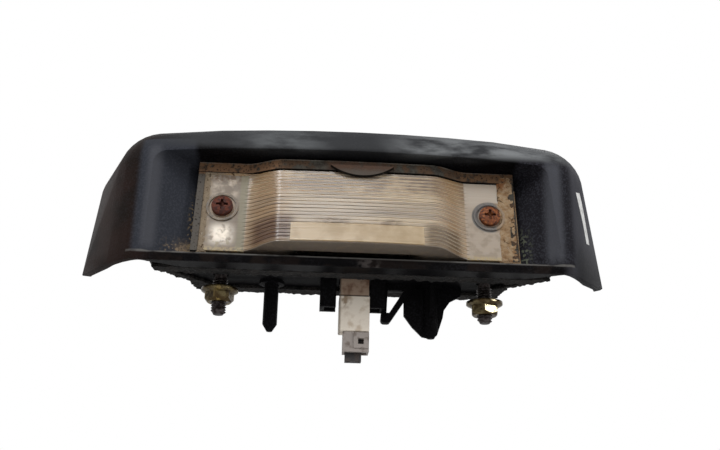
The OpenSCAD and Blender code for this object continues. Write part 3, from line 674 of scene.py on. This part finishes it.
def relax_walls(piece):
    """Cuts the hood level by level and relaxes the walls of its recess."""
    bpy.ops.object.mode_set(mode="EDIT")
    for level in HOOD_CUTS:
        bpy.ops.mesh.select_all(action="SELECT")
        bpy.ops.mesh.bisect(plane_co=(0, 0, level * MM), plane_no=(0, 0, 1))
    bpy.ops.object.mode_set(mode="OBJECT")
    walls = piece.vertex_groups.new(name="recess_walls")
    for vertex in piece.data.vertices:
        place = (abs(vertex.co.x), vertex.co.y, vertex.co.z)
        if all(low * MM < c < high * MM for c, (low, high) in zip(place, WALL_REACH)):
            walls.add([vertex.index], 1, "REPLACE")
    modify(piece, "relax", "SMOOTH", factor=0.5, iterations=RELAX_TURNS,
           vertex_group="recess_walls")


def round_edges(piece, radius, sharp_deg=28, segments=2):
    """Rounds the sharp edges by a radius in millimetres and shades the piece smooth."""
    modify(piece, "edge_radius", "BEVEL", width=radius * MM, segments=segments,
           limit_method="ANGLE", angle_limit=math.radians(sharp_deg))
    bpy.ops.object.mode_set(mode="EDIT")
    bpy.ops.mesh.select_all(action="SELECT")
    bpy.ops.mesh.quads_convert_to_tris(ngon_method="CLIP")
    bpy.ops.object.mode_set(mode="OBJECT")
    bpy.ops.object.shade_smooth_by_angle(angle=math.radians(SMOOTH_DEG))


hood = merged_copy("hood_housing")
relax_walls(hood)
round_edges(hood, 0.35)
finish_copy(hood, "hood_housing")

EDGE_RADII = {
    "lens": 0.1,
    "lamp_body": 0.25,
    "lens_screw_left": 0.2,
    "lens_screw_right": 0.2,
    "flange_nut_left": 0.25,
    "flange_nut_right": 0.25,
    "connector_body": 0.5,
    "connector_base": 0.3,
}
for node_name, radius in EDGE_RADII.items():
    piece = merged_copy(node_name)
    round_edges(piece, radius)
    modify(piece, "even_shading", "WEIGHTED_NORMAL", keep_sharp=True)
    finish_copy(piece, node_name)

# the latch nose has narrow slots, which leave room for a small chamfer only
nose = merged_copy("latch_nose")
round_edges(nose, 0.12, sharp_deg=60, segments=1)
modify(nose, "even_shading", "WEIGHTED_NORMAL", keep_sharp=True)
finish_copy(nose, "latch_nose")


# %% [markdown]
# The studs have a rolled M6 thread. A thread is a small ridge that climbs round a core by
# one millimetre a turn. The core is the solid's own shank, drawn in to the root of the
# thread, and the ridge is a diamond that a Screw modifier carries round the axis.

# %% Threaded studs
THREAD_PITCH = 1.0
THREAD_ROOT = 0.83
THREAD_FLAT = 0.85
THREAD_RUN_OUT = 1.6
THREAD_START = 1.0
TURN_STEPS = 20
STUD_X = 52.3
STUD_R = 3.0
STUD_LEN = 14.8


def threaded_stud(node_name, x):
    core = merged_copy(node_name)
    for vertex in core.data.vertices:
        vertex.select = vertex.co.z < 0
    bpy.ops.object.mode_set(mode="EDIT")
    bpy.ops.transform.resize(value=(THREAD_ROOT, THREAD_ROOT, 1), center_override=(x * MM, 0, 0))
    bpy.ops.object.mode_set(mode="OBJECT")
    depth = STUD_R * (1 - THREAD_ROOT) * MM
    turns = int((STUD_LEN - THREAD_RUN_OUT) / THREAD_PITCH)
    bpy.ops.object.select_all(action="DESELECT")
    bpy.ops.mesh.primitive_circle_add(vertices=4, radius=depth, rotation=(math.pi / 2, 0, 0))
    ridge = bpy.context.object
    ridge.name = node_name + "_thread"
    bpy.ops.object.transform_apply(location=False, rotation=True, scale=False)
    bpy.ops.object.mode_set(mode="EDIT")
    bpy.ops.mesh.select_all(action="SELECT")
    bpy.ops.transform.resize(value=(1, 1, THREAD_FLAT))
    bpy.ops.transform.translate(value=(STUD_R * MM - depth, 0, 0))
    bpy.ops.object.mode_set(mode="OBJECT")
    modify(ridge, "climb", "SCREW", axis="Z", angle=math.tau, screw_offset=THREAD_PITCH * MM,
           iterations=turns, steps=TURN_STEPS, render_steps=TURN_STEPS)
    ridge.location = (x * MM, 0, (-STUD_LEN + THREAD_START) * MM)
    bpy.ops.object.transform_apply(location=True, rotation=False, scale=False)
    bpy.ops.object.mode_set(mode="EDIT")
    bpy.ops.mesh.select_all(action="SELECT")
    bpy.ops.mesh.fill_holes(sides=4)
    bpy.ops.mesh.normals_make_consistent(inside=False)
    bpy.ops.object.mode_set(mode="OBJECT")
    ridge.select_set(True)
    core.select_set(True)
    bpy.context.view_layer.objects.active = core
    bpy.ops.object.join()
    bpy.ops.object.shade_smooth_by_angle(angle=math.radians(30))
    finish_copy(core, node_name)


threaded_stud("stud_left", -STUD_X)
threaded_stud("stud_right", STUD_X)


# %% [markdown]
# The foam strip was cut by hand and has frayed where it weathered, so its edge is ragged
# and not straight. The copy is remeshed finely and a noise pushes its skin in and out.

# %% Frayed foam
FOAM_GRID, FRAY_LUMP, FRAY_DEPTH = 0.45, 2.2, 1.6


def clouds(name, size, depth):
    """A cloud texture whose lumps have a size in millimetres."""
    made = bpy.data.textures.new(name, "CLOUDS")
    made.noise_scale = size * MM
    made.noise_depth = depth
    return made


seal = merged_copy("door_seal")
modify(seal, "even_grid", "REMESH", mode="VOXEL", voxel_size=FOAM_GRID * MM)
modify(seal, "fray", "DISPLACE", texture=clouds("frayed_edge", FRAY_LUMP, 2),
       texture_coords="LOCAL", strength=FRAY_DEPTH * MM, mid_level=0.55)
bpy.ops.object.shade_smooth_by_angle(angle=math.radians(40))
finish_copy(seal, "door_seal")

# %% [markdown]
# Silt has dried into a tan crust with brown cracks. It is greyer at the left end, and rust
# has stained it in the top right corner.

# %% Dried silt
def dried_silt():
    made, tree, shader, place = start_material("dried_silt", 0.95)
    lay, span, cloud = brushes(tree, place)
    shader.inputs["Specular IOR Level"].default_value = 0.15
    colour = lay("#90785c", "#785c41", 1.0, cloud(4, 0.36, 0.64))
    colour = lay(colour, "#9a8870", 0.6, cloud(1.4, 0.42, 0.66))
    colour = lay(colour, "#7a7061", 0.75, span("X", -90, -52, 2))
    # rust in the top right corner
    colour = lay(colour, "#744726", 0.75, span("X", 54, 59.5, 1.2), span("Z", 37, 42, 1.2),
                 cloud(2, 0.3, 0.5))
    # cracks between warped cells
    warp = put(tree, "TexNoise", {"Vector": place, "Scale": 1 / 2.5, "Detail": 3.0})
    warp = put(tree, "VectorMath", {0: warp.outputs["Color"], "Scale": 3.0}, operation="SCALE")
    warp = put(tree, "VectorMath", {0: place, 1: warp.outputs[0]}, operation="ADD")
    cells = put(tree, "TexVoronoi", {"Vector": warp.outputs[0], "Scale": 1 / 4.5},
                feature="DISTANCE_TO_EDGE")
    crack = put(tree, "MapRange",
                {"Value": cells.outputs["Distance"], "From Min": 0.07, "From Max": 0.02})
    colour = lay(colour, "#2f2013", 0.85, crack.outputs[0], cloud(3, 0.52, 0.62))
    colour = lay(colour, "#3a2a1c", 0.7, cloud(0.8, 0.62, 0.7))
    finish_surface(tree, shader, colour, place, 0.5, 4.0, 0.4)
    return made


silt_look = dried_silt()
print("finish:", silt_look.name)

# %% [markdown]
# The silt has built up over the lens's right end and the rim beside it, and in smaller
# lumps elsewhere. Each crust starts as a fine grid in the lens's plane. A cloud noise lifts
# it, its border is pressed under the surface, and what stays above is an irregular island.
# A second skin under it closes the piece.

# %% Crusts of silt
TO_LENS = Matrix.Translation(Vector(LENS_FOOT) * MM) @ Matrix.Rotation(-LENS_LEAN, 4, "X")
STAND_UP = Matrix.Rotation(math.pi / 2, 4, "X")
CELL_MM, BORDER_MM, LUMP_MM, SINK_MM, SKIN_MM = 0.35, 1.2, 1.8, 0.5, 0.3


def flat_grid(name, columns, rows, width, height):
    """A level grid, with its width and height in millimetres."""
    bpy.ops.object.select_all(action="DESELECT")
    bpy.ops.mesh.primitive_grid_add(x_subdivisions=columns, y_subdivisions=rows, size=1)
    piece = bpy.context.object
    piece.name = name
    piece.scale = (width * MM, height * MM, 1)
    bpy.ops.object.transform_apply(location=False, rotation=False, scale=True)
    return piece


def crust(name, u, w, width, height, out, lift):
    """A crust of dried silt round a spot on the lens, in millimetres of its plane."""
    piece = flat_grid(name, int(width / CELL_MM), int(height / CELL_MM), width, height)
    # weight 0 at the border and 1 well inside it
    inner = piece.vertex_groups.new(name="inside")
    border = piece.vertex_groups.new(name="border")
    for vertex in piece.data.vertices:
        margin = min(width / 2 - abs(vertex.co.x) / MM, height / 2 - abs(vertex.co.y) / MM)
        weight = min(1, margin / BORDER_MM)
        inner.add([vertex.index], weight, "REPLACE")
        border.add([vertex.index], 1 - weight, "REPLACE")
    modify(piece, "lumps", "DISPLACE", texture=clouds(name + "_lumps", LUMP_MM, 3),
           direction="Z", strength=lift * MM, mid_level=0.35, vertex_group="inside")
    modify(piece, "sink", "DISPLACE", direction="Z", strength=-SINK_MM * MM, mid_level=0,
           vertex_group="border")
    modify(piece, "skin", "SOLIDIFY", thickness=SKIN_MM * MM, offset=-1)
    # the grid faces up: it is stood up in the lens's plane, with its face to the front
    piece.matrix_world = TO_LENS @ Matrix.Translation(Vector((u, -out, w)) * MM) @ STAND_UP
    bpy.ops.object.transform_apply(location=True, rotation=True, scale=True)
    bpy.ops.object.shade_smooth_by_angle(angle=math.radians(60))
    piece.data.materials.append(silt_look)
    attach(piece, "root")
    print(name, len(piece.data.polygons), "faces")


crust("silt_right", 58.9, 15.5, 8.0, 33.0, 0.1, 0.9)
crust("silt_corner_right", 59.0, 34.5, 6.5, 9.0, 0.5, 0.8)
crust("silt_left", -58.4, 17.0, 3.8, 36.0, 0.05, 0.7)
crust("silt_top_left", -47.0, 34.6, 27.0, 2.2, 0.3, 0.7)

# %% [markdown]
# A stroke of white paint marks the right wing. A narrow grid is laid in front of the wing,
# a Shrinkwrap modifier presses it on to the curved skin, and a Solidify modifier gives it
# the thickness of a brushed coat.

# %% Paint stroke
STROKE_TOP = Vector((87.4, -40, 35.2))
STROKE_FOOT = Vector((92.6, -40, 16.4))
STROKE_MM, COAT_MM, COAT_GAP = 1.3, 0.1, 0.06
BLOB_SHARE = 0.86
BLOB_WIDER = 1.7

paint, paint_tree, paint_shader, paint_place = start_material("brushed_white_paint", 0.5)
paint_colour = stain(paint_tree, "#dcdcda", "#b9b8b5", 1.0,
                     patches(paint_tree, paint_place, 2, 0.45, 0.7))
paint_tree.links.new(paint_colour, paint_shader.inputs["Base Color"])

along = STROKE_TOP - STROKE_FOOT
stroke = flat_grid("paint_stroke", 8, 60, STROKE_MM, along.length)
# the brush landed at the top, so the stroke is broader there
for vertex in stroke.data.vertices:
    vertex.select = vertex.co.y / (along.length * MM) + 0.5 > BLOB_SHARE
bpy.ops.object.mode_set(mode="EDIT")
bpy.ops.transform.resize(value=(BLOB_WIDER, 1, 1), use_proportional_edit=True,
                         proportional_size=3 * MM, proportional_edit_falloff="SMOOTH",
                         center_override=(0, 0, 0))
bpy.ops.object.mode_set(mode="OBJECT")
lean = math.atan2(-along.x, along.z)
centre = (STROKE_TOP + STROKE_FOOT) / 2
stroke.matrix_world = Matrix.Translation(centre * MM) @ Matrix.Rotation(-lean, 4, "Y") @ STAND_UP
bpy.ops.object.transform_apply(location=True, rotation=True, scale=True)
modify(stroke, "press", "SHRINKWRAP", target=hood, wrap_method="PROJECT", use_project_y=True,
       use_positive_direction=True, use_negative_direction=False, offset=COAT_GAP * MM)
modify(stroke, "coat", "SOLIDIFY", thickness=COAT_MM * MM, offset=0)
bpy.ops.object.shade_smooth_by_angle(angle=math.radians(40))
stroke.data.materials.append(paint)
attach(stroke, "root")
print("paint_stroke", len(stroke.data.polygons), "faces")
